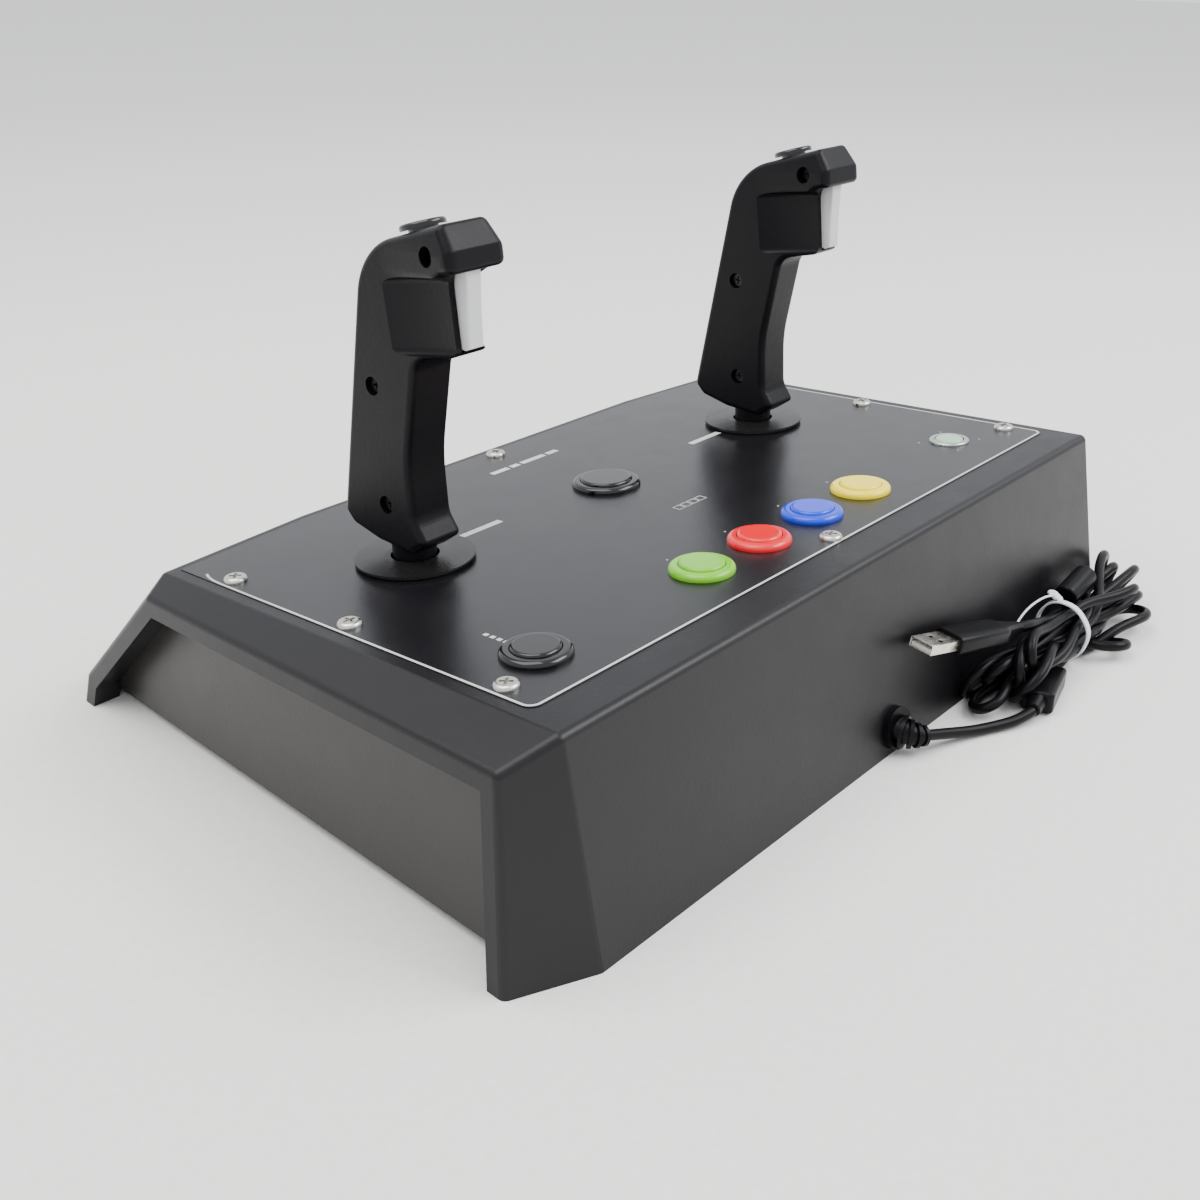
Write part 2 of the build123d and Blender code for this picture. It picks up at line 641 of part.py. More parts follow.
def usb_plug():
    """Moulded body and metal shell, along the line from its tail to its tip."""
    axis = Vector(*PLUG_TIP) - Vector(*PLUG_TAIL)
    frame = Plane(origin=PLUG_TAIL, x_dir=(0.29, 0.94, 0.0), z_dir=axis)
    length = axis.length
    split = length - PLUG_SHELL_LENGTH
    shell = block(-6.0, 6.0, -2.25, 2.25, split, length)
    shell -= block(-5.6, 5.6, -1.9, 1.9, split + 2, length + 1)
    shell += block(-5.6, 5.6, -1.9, 0.1, split + 1, length - 0.6)
    mould = fillet(block(-7.8, 7.8, -4.2, 4.2, 8.0, split).edges(), 1.5)
    mould += Pos(0, 0, 4.5) * Cone(2.9, 3.8, 9) + disc(CABLE_RADIUS, -20.0, 1.0)
    return frame.location * mould, frame.location * shell


def ferrite():
    axis = Vector(*FERRITE_ENDS[1]) - Vector(*FERRITE_ENDS[0])
    frame = Plane(origin=FERRITE_ENDS[0], z_dir=axis)
    core = disc(FERRITE_RADIUS, 0.0, axis.length)
    return frame.location * fillet(core.edges().filter_by(GeomType.CIRCLE), 1.2)


# -------------------------------------------------------------------- main
def export_housing():
    shell = add_bosses(housing_shell())
    film = top_overlay()
    plate = mounting_plate()
    for cutter in top_holes():
        shell -= cutter
        film -= cutter
        plate -= cutter
    for x, y in floor_screw_places():
        shell -= Pos(x, y, 0) * disc(1.5, 0.0, FLOOR_PLATE_Z + 10.0)
    shell -= Pos(*GLAND) * Rot(REAR_LEAN - 90, 0, 0) * disc(5.1, -6.0, 3.0)
    export("housing_shell", shell)
    export("top_overlay", film)
    export("mounting_plate", plate)
    export("floor_plate", floor_plate())
    export("end_panel_left", end_panel(-1))
    export("end_panel_right", end_panel(1))
    export("rubber_feet", *rubber_feet())
    export("panel_screws", *panel_screws())
    export("floor_screws", *floor_screws())
    export("circuit_board", circuit_board())


def export_buttons():
    springs, nuts, switches = [], [], []
    for name, (x, v, size) in BUTTONS.items():
        place = on_face(x, v)
        export(f"button_body_{name}", place * button_body(size))
        export(f"button_plunger_{name}", place * button_plunger(size))
        springs.append(place * button_spring(size))
        nuts.append(place * button_nut(size))
        switches.append(place * Pos(0, 0, -BARREL_DEPTH) * Rot(180, 0, 0) * microswitch())
    export("button_springs", *springs)
    export("button_nuts", *nuts)
    export("guide_ring", guide_ring())
    export("guide_lens", guide_lens())
    for side in (-1, 1):
        place = on_face(side * STICK_X, STICK_V)
        switches += [place * s for s in stick_switches()]
    export("microswitches", *switches)


def export_sticks():
    grip = grip_body()
    halves = {
        "right": grip & block(0, 40, -60, 80, -20, 180),
        "left": grip & block(-40, 0, -60, 80, -20, 180),
    }
    pieces = {
        "stick_base": [stick_base()],
        "stick_yoke": [stick_yoke()],
        "stick_shaft": [stick_shaft()],
        "stick_spring": [stick_spring()],
        "dust_washer": [dust_washer()],
        "dust_disc": [dust_disc()],
        "grip_shell_right": [halves["right"]],
        "grip_shell_left": [halves["left"]],
        "grip_screws": grip_screws(),
        "grip_switches": grip_switches(),
        "trigger": [trigger()],
        "trigger_pin": [trigger_pin()],
        "thumb_button": [thumb_button()],
    }
    for side, hand in ((1, "r"), (-1, "l")):
        place = on_face(side * STICK_X, STICK_V)
        for name, solids in pieces.items():
            export(f"{name}_{hand}", *[place * s for s in solids])


def export_cable():
    export("cable_gland", cable_gland())
    export("cable_lead", cable_lead())
    export("cable_connector", cable_connector())
    export("cable_hank", cable_hank())
    export("cable_tie", cable_tie())
    export("usb_plug", *usb_plug())
    export("ferrite", ferrite())


os.makedirs("parts", exist_ok=True)
export_housing()
export_buttons()
export_sticks()
export_cable()
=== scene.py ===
import json
import math

import bmesh
import bpy
import numpy as np
from mathutils import Matrix, Vector


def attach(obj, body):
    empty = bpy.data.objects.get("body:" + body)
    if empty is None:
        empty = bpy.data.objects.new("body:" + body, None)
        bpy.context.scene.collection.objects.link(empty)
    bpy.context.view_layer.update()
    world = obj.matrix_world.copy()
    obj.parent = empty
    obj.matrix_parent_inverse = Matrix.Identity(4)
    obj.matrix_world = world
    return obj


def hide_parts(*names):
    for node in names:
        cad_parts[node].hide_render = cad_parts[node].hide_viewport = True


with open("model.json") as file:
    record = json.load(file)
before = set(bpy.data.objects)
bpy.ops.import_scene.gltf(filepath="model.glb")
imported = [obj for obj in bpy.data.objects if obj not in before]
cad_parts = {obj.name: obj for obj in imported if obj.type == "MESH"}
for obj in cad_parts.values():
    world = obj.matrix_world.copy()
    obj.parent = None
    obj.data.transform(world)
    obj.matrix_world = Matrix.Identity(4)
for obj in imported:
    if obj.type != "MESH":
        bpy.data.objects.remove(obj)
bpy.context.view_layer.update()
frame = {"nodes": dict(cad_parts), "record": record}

# Looks for the twin-stick arcade control panel. Metres, in the CAD frame:
# +X is the player's right, +Y the rear, where the cable is, and +Z up.
NODES = frame["nodes"]
MM = 0.001

# ------------------------------------------------------------ driving sizes
TOP_SLOPE = math.radians(3.5)
FRONT_HEIGHT = 0.0737
FRONT_EDGE_Y = -0.1015         # the top front edge in the CAD frame
FILM_TOP = 0.3 * MM
PRINT_TOP = FILM_TOP + 0.03 * MM
STICK_X = 0.1216
STICK_V = 0.0868
CABLE_RADIUS = 2.5 * MM
# The grip's head is wider than the rest of it, in the stick's own frame
HEAD_FLARE = 0.37
HEAD_FLARE_Y = (0.0100, 0.0500)
HEAD_FLARE_Z = (0.1225, 0.1265)
HEAD_NOSE_Z = 0.1340
HEAD_TOP_Z = 0.1450

LEAD_ROUTE = [
    (-0.00325, 0.1670, 0.0085), (-0.0155, 0.1715, 0.0058), (-0.0290, 0.1771, 0.0032),
    (-0.0415, 0.1834, 0.0030), (-0.0510, 0.1884, 0.0039), (-0.0587, 0.1903, 0.0055),
]
PLUG_TAIL = Vector((-0.0720, 0.1680, 0.0340))
PLUG_TIP = Vector((-0.0110, 0.1565, 0.0455))
PLUG_SHELL_LENGTH = 18.8 * MM
TIE_CENTRE = Vector((-0.1220, 0.1730, 0.0160))

CAMERA_PLACE = (0.4769, 0.4065, 0.3264)
CAMERA_AZIMUTH = math.radians(131.652)
CAMERA_ELEVATION = math.radians(26.036)
CAMERA_ROLL = math.radians(0.09)
CAMERA_LENS = 42.02


def on_face(x, v, h=0.0):
    """Point on the control face: v up the slope from the front edge, h above it."""
    y = FRONT_EDGE_Y + v * math.cos(TOP_SLOPE) - h * math.sin(TOP_SLOPE)
    return Vector((x, y, FRONT_HEIGHT + v * math.sin(TOP_SLOPE) + h * math.cos(TOP_SLOPE)))


def face_frame(x, v, h=0.0):
    return Matrix.Translation(on_face(x, v, h)) @ Matrix.Rotation(TOP_SLOPE, 4, "X")


# ------------------------------------------------------------------- camera
def make_camera():
    data = bpy.data.cameras.new("camera")
    data.sensor_width = 36
    data.lens = CAMERA_LENS
    data.clip_start = 0.01
    camera = bpy.data.objects.new("camera", data)
    bpy.context.scene.collection.objects.link(camera)
    back = Vector((
        math.sin(CAMERA_AZIMUTH) * math.cos(CAMERA_ELEVATION),
        -math.cos(CAMERA_AZIMUTH) * math.cos(CAMERA_ELEVATION),
        math.sin(CAMERA_ELEVATION)))
    turn = back.to_track_quat("Z", "Y").to_matrix().to_4x4()
    roll = Matrix.Rotation(CAMERA_ROLL, 4, "Z")
    camera.matrix_world = Matrix.Translation(CAMERA_PLACE) @ turn @ roll
    bpy.context.scene.camera = camera


# ------------------------------------------------------------ mesh helpers
def mesh_object(name, verts, faces, smooth=True):
    mesh = bpy.data.meshes.new(name)
    mesh.from_pydata([tuple(v) for v in verts], [], faces)
    mesh.update()
    if smooth:
        mesh.polygons.foreach_set("use_smooth", [True] * len(mesh.polygons))
    piece = bpy.data.objects.new(name, mesh)
    bpy.context.scene.collection.objects.link(piece)
    return piece


def from_bmesh(name, bm, place=None, smooth_angle=35):
    bmesh.ops.recalc_face_normals(bm, faces=bm.faces)
    if place is not None:
        bmesh.ops.transform(bm, matrix=place, verts=bm.verts)
    mesh = bpy.data.meshes.new(name)
    bm.to_mesh(mesh)
    bm.free()
    piece = bpy.data.objects.new(name, mesh)
    bpy.context.scene.collection.objects.link(piece)
    shade(piece, smooth_angle)
    return piece


def shade(piece, angle=35):
    """Smooth shading with edges sharper than the angle kept sharp."""
    mesh = piece.data
    mesh.polygons.foreach_set("use_smooth", [True] * len(mesh.polygons))
    mesh.set_sharp_from_angle(angle=math.radians(angle))


def curve_object(name, points, radius, order=3, resolution=12):
    """Round cord along a NURBS spline with these control points."""
    curve = bpy.data.curves.new(name, "CURVE")
    curve.dimensions = "3D"
    curve.bevel_depth = radius
    curve.bevel_resolution = 6
    curve.use_fill_caps = True
    curve.resolution_u = resolution
    spline = curve.splines.new("NURBS")
    spline.points.add(len(points) - 1)
    for point, place in zip(spline.points, points):
        point.co = (*place, 1.0)
    spline.order_u = order
    spline.use_endpoint_u = True
    piece = bpy.data.objects.new(name, curve)
    bpy.context.scene.collection.objects.link(piece)
    return piece


# ---------------------------------------------------------------- materials
def material(name):
    made = bpy.data.materials.new(name)
    made.use_nodes = True
    nodes = made.node_tree.nodes
    return made, nodes, made.node_tree.links, nodes["Principled BSDF"]


def noise(nodes, links, scale, detail=3.0, roughness=0.5):
    """Noise in object space."""
    place = nodes.new("ShaderNodeTexCoord")
    texture = nodes.new("ShaderNodeTexNoise")
    texture.inputs["Scale"].default_value = scale
    texture.inputs["Detail"].default_value = detail
    texture.inputs["Roughness"].default_value = roughness
    links.new(place.outputs["Object"], texture.inputs["Vector"])
    return texture.outputs["Fac"]


def spread(nodes, links, value, low, high, start=0.35, end=0.65):
    """Maps a noise value onto a range."""
    node = nodes.new("ShaderNodeMapRange")
    node.inputs["From Min"].default_value = start
    node.inputs["From Max"].default_value = end
    node.inputs["To Min"].default_value = low
    node.inputs["To Max"].default_value = high
    links.new(value, node.inputs["Value"])
    return node.outputs["Result"]


def blend_colours(nodes, links, value, first, second, start=0.35, end=0.65):
    ramp = nodes.new("ShaderNodeValToRGB")
    ramp.color_ramp.elements[0].position = start
    ramp.color_ramp.elements[1].position = end
    ramp.color_ramp.elements[0].color = (*first, 1)
    ramp.color_ramp.elements[1].color = (*second, 1)
    links.new(value, ramp.inputs["Fac"])
    return ramp.outputs["Color"]


def bump(nodes, links, shader, heights, distance, strength=1.0):
    """Chains bumps from (value, distance factor) pairs into the shader's normal."""
    last = None
    for value, factor in heights:
        node = nodes.new("ShaderNodeBump")
        node.inputs["Distance"].default_value = distance * factor
        node.inputs["Strength"].default_value = strength
        links.new(value, node.inputs["Height"])
        if last is not None:
            links.new(last, node.inputs["Normal"])
        last = node.outputs["Normal"]
    links.new(last, shader.inputs["Normal"])


def plastic(name, colour, other, roughness, grain, depth, cloud=18.0, coat=0.0, specular=0.5):
    """Moulded plastic: clouded colour, uneven gloss and a fine moulded grain."""
    made, nodes, links, shader = material(name)
    clouds = noise(nodes, links, cloud, 4.0, 0.6)
    links.new(blend_colours(nodes, links, clouds, colour, other), shader.inputs["Base Color"])
    smears = noise(nodes, links, cloud * 3.1, 5.0, 0.65)
    links.new(spread(nodes, links, smears, *roughness), shader.inputs["Roughness"])
    fine = noise(nodes, links, grain, 2.0, 0.5)
    coarse = noise(nodes, links, grain / 9, 2.0, 0.5)
    bump(nodes, links, shader, [(fine, 1.0), (coarse, 1.6)], depth)
    shader.inputs["Coat Weight"].default_value = coat
    shader.inputs["Coat Roughness"].default_value = 0.06
    shader.inputs["Specular IOR Level"].default_value = specular
    return made


def metal(name, colour, other, roughness, grain, depth):
    made, nodes, links, shader = material(name)
    clouds = noise(nodes, links, grain / 12, 3.0, 0.6)
    links.new(blend_colours(nodes, links, clouds, colour, other), shader.inputs["Base Color"])
    shader.inputs["Metallic"].default_value = 1.0
    smears = noise(nodes, links, grain / 4, 4.0, 0.6)
    links.new(spread(nodes, links, smears, *roughness), shader.inputs["Roughness"])
    bump(nodes, links, shader, [(noise(nodes, links, grain, 2.0), 1.0)], depth)
    return made


def make_materials():
    return {
        "housing_plastic": plastic(
            "housing_plastic", (0.0056, 0.0049, 0.0062), (0.0066, 0.0058, 0.0072),
            (0.33, 0.38), 5200, 0.00003, specular=0.30),
        "top_film": plastic(
            "top_film", (0.0052, 0.0048, 0.0062), (0.0060, 0.0056, 0.0070),
            (0.23, 0.27), 6500, 0.00002),
        "end_panel": plastic(
            "end_panel", (0.0170, 0.0150, 0.0138), (0.0200, 0.0178, 0.0162),
            (0.28, 0.34), 5200, 0.00003, specular=0.42),
        "grip_plastic": plastic(
            "grip_plastic", (0.0032, 0.0027, 0.0040), (0.0038, 0.0032, 0.0046),
            (0.30, 0.36), 4200, 0.00004, specular=0.14),
        "disc_plastic": plastic(
            "disc_plastic", (0.0078, 0.0074, 0.0076), (0.0092, 0.0088, 0.0090),
            (0.26, 0.32), 5200, 0.00003, specular=0.35),
        "trigger_grey": plastic(
            "trigger_grey", (0.560, 0.560, 0.565), (0.600, 0.600, 0.605),
            (0.34, 0.44), 4200, 0.00003),
        "green_plastic": plastic(
            "green_plastic", (0.165, 0.520, 0.006), (0.180, 0.545, 0.008),
            (0.13, 0.19), 2600, 0.000006, coat=0.25, specular=0.4),
        "red_plastic": plastic(
            "red_plastic", (0.760, 0.004, 0.012), (0.800, 0.006, 0.016),
            (0.13, 0.19), 2600, 0.000006, coat=0.25, specular=0.4),
        "blue_plastic": plastic(
            "blue_plastic", (0.002, 0.036, 0.640), (0.003, 0.042, 0.690),
            (0.13, 0.19), 2600, 0.000006, coat=0.25, specular=0.4),
        "yellow_plastic": plastic(
            "yellow_plastic", (0.960, 0.760, 0.002), (0.980, 0.790, 0.004),
            (0.13, 0.19), 2600, 0.000006, coat=0.25, specular=0.4),
        "black_gloss": plastic(
            "black_gloss", (0.0022, 0.0021, 0.0028), (0.0028, 0.0027, 0.0034),
            (0.12, 0.18), 2600, 0.000006, coat=0.25, specular=0.4),
        "black_nylon": plastic(
            "black_nylon", (0.010, 0.010, 0.010), (0.014, 0.014, 0.014),
            (0.42, 0.52), 3000, 0.00004),
        "switch_plastic": plastic(
            "switch_plastic", (0.020, 0.020, 0.020), (0.026, 0.026, 0.026),
            (0.35, 0.45), 3000, 0.00003),
        "painted_steel": plastic(
            "painted_steel", (0.007, 0.007, 0.007), (0.009, 0.009, 0.009),
            (0.30, 0.36), 2600, 0.00003, specular=0.3),
        "board": plastic(
            "board", (0.006, 0.060, 0.020), (0.010, 0.075, 0.028),
            (0.22, 0.32), 2600, 0.00002),
        "foot_rubber": plastic(
            "foot_rubber", (0.011, 0.011, 0.011), (0.016, 0.016, 0.016),
            (0.62, 0.75), 3400, 0.00006),
        "cable_rubber": plastic(
            "cable_rubber", (0.0026, 0.0023, 0.0032), (0.0034, 0.0030, 0.0040),
            (0.30, 0.38), 3800, 0.00002, cloud=60.0, specular=0.14),
        "tie_white": plastic(
            "tie_white", (0.70, 0.73, 0.78), (0.78, 0.80, 0.84),
            (0.30, 0.40), 2600, 0.00002),
        "guide_lens": plastic(
            "guide_lens", (0.34, 0.52, 0.36), (0.40, 0.58, 0.42),
            (0.22, 0.32), 2600, 0.00002, coat=0.4),
        "print_white": plastic(
            "print_white", (0.46, 0.47, 0.46), (0.56, 0.57, 0.56),
            (0.45, 0.55), 5200, 0.00001),
        "nickel": metal("nickel", (0.60, 0.575, 0.53), (0.70, 0.68, 0.64), (0.20, 0.33), 1800, 0.00002),
        "steel": metal("steel", (0.46, 0.46, 0.46), (0.56, 0.56, 0.57), (0.28, 0.40), 2600, 0.00002),
        "guide_silver": metal(
            "guide_silver", (0.50, 0.53, 0.52), (0.62, 0.64, 0.62), (0.22, 0.32), 2600, 0.00001),
        "plug_shell": metal(
            "plug_shell", (0.66, 0.62, 0.52), (0.78, 0.75, 0.68), (0.22, 0.34), 1500, 0.00002),
        "plug_insert": plastic(
            "plug_insert", (0.55, 0.54, 0.50), (0.62, 0.61, 0.58), (0.35, 0.45), 2600, 0.00002),
    }


def paint(piece, finish):
    piece.data.materials.clear()
    piece.data.materials.append(MATERIALS[finish])


def paint_cad_nodes():
    """Every CAD node takes the material of its slot in the record, except the end panels and the grip
    screws, which take their own.
    """
    special = {"end_panel_left": "end_panel", "end_panel_right": "end_panel",
               "grip_screws_l": "painted_steel", "grip_screws_r": "painted_steel"}
    for part in frame["record"]["subparts"]:
        node = NODES[part["node"]]
        paint(node, special.get(part["node"], part["material_slot"]))
        shade(node, 30)


# ---------------------------------------------------------------- grip head
def share(value, limits):
    """How far the value is from the first limit to the second, from 0 to 1."""
    low, high = limits
    return min(max((value - low) / (high - low), 0.0), 1.0)


def head_width(y, z):
    """How much wider than the CAD shell the grip is here, in the stick's own frame."""
    forward = share(y, HEAD_FLARE_Y) ** 1.4
    upward = share(z, HEAD_FLARE_Z)
    upward = upward * upward * (3 - 2 * upward)
    lean = share(z, (HEAD_NOSE_Z, HEAD_TOP_Z))
    return 1 + HEAD_FLARE * forward * upward * (1 - 0.5 * lean)


def flared_half(name, side, hand):
    """A grip half from its CAD shell, cut into finer strips and widened at the head."""
    stick = face_frame(side * STICK_X, STICK_V)
    bm = bmesh.new()
    bm.from_mesh(NODES[name].data)
    bmesh.ops.transform(bm, matrix=stick.inverted() @ NODES[name].matrix_world, verts=bm.verts)
    cuts = [((0, HEAD_FLARE_Y[0] + 3.5 * MM * i, 0), (0, 1, 0)) for i in range(12)]
    cuts += [((0, 0, HEAD_FLARE_Z[0] + 1.2 * MM * i), (0, 0, 1)) for i in range(5)]
    cuts += [((0, 0, HEAD_NOSE_Z + 3 * MM * i), (0, 0, 1)) for i in range(4)]
    for place, normal in cuts:
        everything = bm.verts[:] + bm.edges[:] + bm.faces[:]
        bmesh.ops.bisect_plane(bm, geom=everything, dist=1e-7, plane_co=place, plane_no=normal)
    for vert in bm.verts:
        vert.co.x *= head_width(vert.co.y, vert.co.z)
    piece = from_bmesh(f"flared_{name}", bm, stick, 30)
    paint(piece, "grip_plastic")
    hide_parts(name)
    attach(piece, f"stick_{hand}")


def add_flared_grips():
    for side, hand in ((1, "r"), (-1, "l")):
        for half in ("right", "left"):
            flared_half(f"grip_shell_{half}_{hand}", side, hand)


# ------------------------------------------------------------ printed film
def ribbon(name, points, width):
    """Thin printed line along points (x, v) on the film."""
    verts, faces = [], []
    count = len(points)
    for i, (x, v) in enumerate(points):
        before = Vector(points[max(i - 1, 0)])
        after = Vector(points[min(i + 1, count - 1)])
        along = (after - before).normalized()
        side = Vector((-along.y, along.x)) * width / 2
        for sign in (-1, 1):
            verts.append(on_face(x + sign * side.x, v + sign * side.y, PRINT_TOP))
    for i in range(count - 1):
        faces.append((2 * i, 2 * i + 2, 2 * i + 3, 2 * i + 1))
    return mesh_object(name, verts, faces, smooth=False)


def quarter(centre, radius, start, steps=10):
    """Points on a quarter turn, anticlockwise from the start angle in degrees."""
    points = []
    for i in range(steps + 1):
        a = math.radians(start + 90 * i / steps)
        points.append((centre[0] + radius * math.cos(a), centre[1] + radius * math.sin(a)))
    return points


def border_line():
    """White border: up both sides and along the rear, open at the front."""
    side, rear, corner = 0.1885, 0.2212, 0.0045
    start = [(0.1858, 0.0262), (0.1873, 0.0300), (0.1882, 0.0345)]
    turn_right = quarter((side - corner, rear - corner), corner, 0)
    turn_left = quarter((-side + corner, rear - corner), corner, 90)
    points = start + [(side, 0.0400)] + turn_right + turn_left
    points += [(-side, 0.0400)] + [(-x, v) for x, v in reversed(start)]
    return points


def dash(name, x0, x1, v0, v1):
    corners = [(x0, v0), (x1, v0), (x1, v1), (x0, v1)]
    return mesh_object(name, [on_face(x, v, PRINT_TOP) for x, v in corners], [(0, 1, 2, 3)], False)


def printed_marks():
    """Border and plain generic marks. No lettering."""
    marks = [ribbon("border_line_0", border_line(), 1.1 * MM)]
    bars = {
        "bar_right": (0.0675, 0.0915, 0.0815, 0.0852),
        "bar_left": (-0.0955, -0.0715, 0.0815, 0.0852),
        "front_bar_0": (-0.0240, -0.0165, 0.0302, 0.0338),
        "front_bar_1": (-0.0145, 0.0020, 0.0302, 0.0338),
        "front_bar_2": (0.0040, 0.0095, 0.0302, 0.0338),
        "front_bar_3": (0.0115, 0.0230, 0.0302, 0.0338),
    }
    for name, limits in bars.items():
        marks.append(dash(name, *limits))
    for i in range(4):
        x = -0.0105 + 0.0052 * i
        cell = [(x, 0.1370), (x + 0.0042, 0.1370), (x + 0.0042, 0.1412), (x, 0.1412), (x, 0.1370)]
        marks.append(ribbon(f"cell_{i}", cell, 0.5 * MM))
    for sx in (-1, 1):
        for sv in (-1, 1):
            x = -0.1485 + sx * 0.0110
            v = 0.1905 + sv * 0.0110
            marks.append(dash(f"dot_{sx + 1}_{sv + 1}", x - 0.0004, x + 0.0004, v - 0.0004, v + 0.0004))
    for i, x in enumerate((0.060, 0.020, -0.020, -0.060)):
        marks.append(dash(f"button_dot_{i}", x - 0.0004, x + 0.0004, 0.1746, 0.1754))
    for i in range(5):
        v = 0.1655 + 0.0036 * i
        marks.append(dash(f"start_dash_{i}", 0.1560, 0.1580, v, v + 0.0022))
    for mark in marks:
        paint(mark, "print_white")
        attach(mark, "root")


# -------------------------------------------------------------------- cable
def add_lead():
    lead = curve_object("lead_cable", LEAD_ROUTE, CABLE_RADIUS)
    paint(lead, "cable_rubber")
    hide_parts("cable_lead")
    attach(lead, "root")


# The hank, in millimetres: each loop has a tip, the direction in which its
# two strands lie apart, and the width between them
CONNECTOR_EXIT = (-95.6, 181.1, 6.0)
CONNECTOR_AXIS = (-0.970, -0.242, 0.0)
HANK_TAIL = (-72.0, 168.0, 34.0)
HANK_TAIL_AXIS = (0.965, -0.182, 0.182)
TIE_MIDDLE = (-122.0, 173.0, 16.0)
TIE_HALF = (8.9, 11.3)              # half width and height of the bundle's centrelines
FAR_LOOPS = [
    ((-150, 191, 5), (0.5, 0.5, 0.25), 15), ((-188, 187, 7), (0.1, 1, 0.15), 13),
    ((-199, 177, 6), (0, 0.8, 0.9), 12), ((-210, 170, 14), (0, 0.5, 0.9), 13),
    ((-202, 162, 17), (0, 0.3, 1), 11), ((-204, 157.5, 20), (0, 0.2, 1), 10),
    ((-176, 183, 22), (0, 0.7, 0.7), 12),
]
NEAR_LOOPS = [
    ((-60, 182, 5), (0.2, 0.8, 0.5), 13), ((-44, 172, 5), (0, 1, 0.3), 13),
    ((-50, 161, 8), (0, 0.4, 1), 12), ((-64, 178, 14), (0.3, 0.5, -0.9), 16),
    ((-58, 168, 16), (0, 0.6, 0.8), 12), ((-72, 180, 20), (0.3, 0.6, -0.8), 15),
]
# Round obstacles that the cable lies against: end, end, distance kept
OBSTACLES = [
    ((-70, 188, 6), (-93, 182, 6), 9.6), ((-137.5, 165.5, 25.5), (-163, 164.3, 28.5), 8.6),
    ((-66, 167, 35), (-20, 158, 43.8), 7.6),
]
STRAND_GAP = 5.25
SAMPLE_STEP = 4.5
RELAX_STEPS = 260


def tie_slots():
    """Places of the strands inside the tie, row by row, back and forth."""
    slots = []
    for row, (height, count) in enumerate([(-10.4, 3), (-5.2, 4), (0, 4), (5.2, 4), (10.4, 3)]):
        columns = [(i - (count - 1) / 2) * 5.3 for i in range(count)]
        if row % 2:
            columns.reverse()
        slots += [np.array(TIE_MIDDLE) + (0, column, height) for column in columns]
    return slots


def loop_points(loop, start, end):
    """Route points from one tie slot round the loop's tip to the next slot."""
    tip, opening, width = loop
    tip = np.array(tip, float)
    axis = tip - np.array(TIE_MIDDLE)
    reach = np.linalg.norm(axis)
    axis /= reach
    side = np.array(opening, float)
    side -= axis * side.dot(axis)
    side *= width / 2 / np.linalg.norm(side)
    back = axis * width / 2
    return [
        start + (tip - start) * 0.3 + side * 0.3, tip - axis * reach * 0.36 + side * 0.95,
        tip - back * 1.6 + side, tip - back * 0.35 + side * 0.8, tip,
        tip - back * 0.35 - side * 0.8, tip - back * 1.6 - side,
        tip - axis * reach * 0.36 - side * 0.95, end + (tip - end) * 0.3 - side * 0.3,
    ]


def hank_route():
    """Rough route: connector, then loops to both sides of the tie, then the plug."""
    slots = tie_slots()
    through = np.array((6.0, 0.0, 0.0))
    first = np.array(CONNECTOR_EXIT)
    last = np.array(HANK_TAIL)
    points = [first, first + np.array(CONNECTOR_AXIS) * 7]
    for i, far in enumerate(FAR_LOOPS):
        into, back = slots[2 * i], slots[2 * i + 1]
        points += [into + through, into - through]
        points += loop_points(far, into, back)
        points += [back - through, back + through]
        if i < len(NEAR_LOOPS):
            points += loop_points(NEAR_LOOPS[i], back, slots[2 * i + 2])
    tail = np.array(HANK_TAIL_AXIS)
    return np.array(points + [last - tail * 22, last - tail * 10, last])


def even_points(route, step):
    """The route as a smooth line, in even steps."""
    padded = np.vstack([2 * route[0] - route[1], route, 2 * route[-1] - route[-2]])
    line = []
    for a, b, c, d in zip(padded, padded[1:], padded[2:], padded[3:]):
        for t in np.linspace(0, 1, 12, endpoint=False):
            line.append(0.5 * (2 * b + (c - a) * t + (2 * a - 5 * b + 4 * c - d) * t ** 2
                               + (3 * b - a - 3 * c + d) * t ** 3))
    line = np.array(line + [route[-1]])
    along = np.r_[0, np.cumsum(np.linalg.norm(np.diff(line, axis=0), axis=1))]
    steps = np.linspace(0, along[-1], int(along[-1] / step) + 1)
    return np.stack([np.interp(steps, along, line[:, k]) for k in range(3)], 1)


def push_strands_apart(points, apart, free):
    delta = points[:, None, :] - points[None, :, :]
    distance = np.sqrt((delta ** 2).sum(-1)) + 1e-6
    close = (distance < STRAND_GAP) & apart
    push = np.where(close, (STRAND_GAP - distance) / distance * 0.5, 0)[:, :, None] * delta
    crowd = np.sqrt(np.maximum(close.sum(1), 1))[:, None]
    return points + push.sum(1) / crowd * 0.6 * free


def stiffen(points, free):
    """Takes out short kinks, as the cable's own stiffness does."""
    bend = np.zeros_like(points)
    bend[2:-2] = -(points[:-4] - 4 * points[1:-3] + 6 * points[2:-2]
                   - 4 * points[3:-1] + points[4:]) / 16
    return points + bend * free


def keep_length(points, rest, free):
    for _ in range(3):
        step = np.diff(points, axis=0)
        length = np.linalg.norm(step, axis=1, keepdims=True)
        change = step * (1 - rest / length) * 0.2
        move = np.zeros_like(points)
        move[:-1] += change
        move[1:] -= change
        points = points + move * free
    return points


